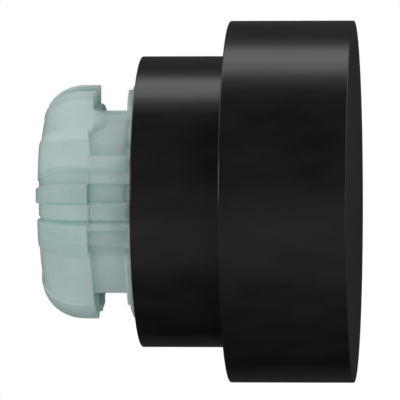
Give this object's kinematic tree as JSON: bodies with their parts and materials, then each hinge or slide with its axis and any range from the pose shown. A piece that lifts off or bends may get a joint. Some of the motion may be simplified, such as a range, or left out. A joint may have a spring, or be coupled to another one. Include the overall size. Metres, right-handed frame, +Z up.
{
  "type": "push button head",
  "caption": "Panel-mounted industrial push button head: wide flat palm cap that slides over a round bezel, with a bayonet guide collar behind the panel and a spring return.",
  "frame": {"origin": "on the button's axis, in the plane of the panel's front face, which is the rear face of the panel gasket", "axes": "+Y runs along the button's axis into the panel, the way the button is pressed; -Y is towards the user; +Z is up; the collar's index rib is towards -X"},
  "size_m": [0.0344, 0.0298, 0.0344],
  "materials": {
    "cap_plastic": "satin black moulded polyamide",
    "bezel_plastic": "satin black moulded polyamide",
    "natural_polyamide": "pale grey-green translucent glass-filled polyamide, slightly glossy",
    "grey_acetal": "light grey acetal",
    "gasket_rubber": "matt black nitrile rubber",
    "spring_steel": "bright spring steel",
    "insert_brass": "turned brass"
  },
  "bodies": {
    "housing": {"bezel_ring": "bezel_plastic", "panel_gasket": "gasket_rubber", "guide_collar": "natural_polyamide", "collar_o_ring": "gasket_rubber", "collar_snap_ring": "spring_steel", "stop_cushion": "gasket_rubber", "lip_seal": "gasket_rubber", "seal_retainer": "bezel_plastic", "spring_seat_washer": "spring_steel"},
    "button": {"mushroom_cap": "cap_plastic", "cap_insert": "insert_brass", "cap_lock_washer": "spring_steel", "plunger": "grey_acetal", "return_spring": "spring_steel", "stop_clip": "spring_steel", "contact_pusher": "grey_acetal", "pusher_pin": "spring_steel"}
  },
  "joints": [
    {"name": "button_press", "type": "slide", "parent": "housing", "child": "button", "axis": [0, 1, 0], "range_m": [0, 0.0045], "stiffness_N_per_m": 900, "springref_m": -0.004, "deforming": ["return_spring"]}
  ]
}
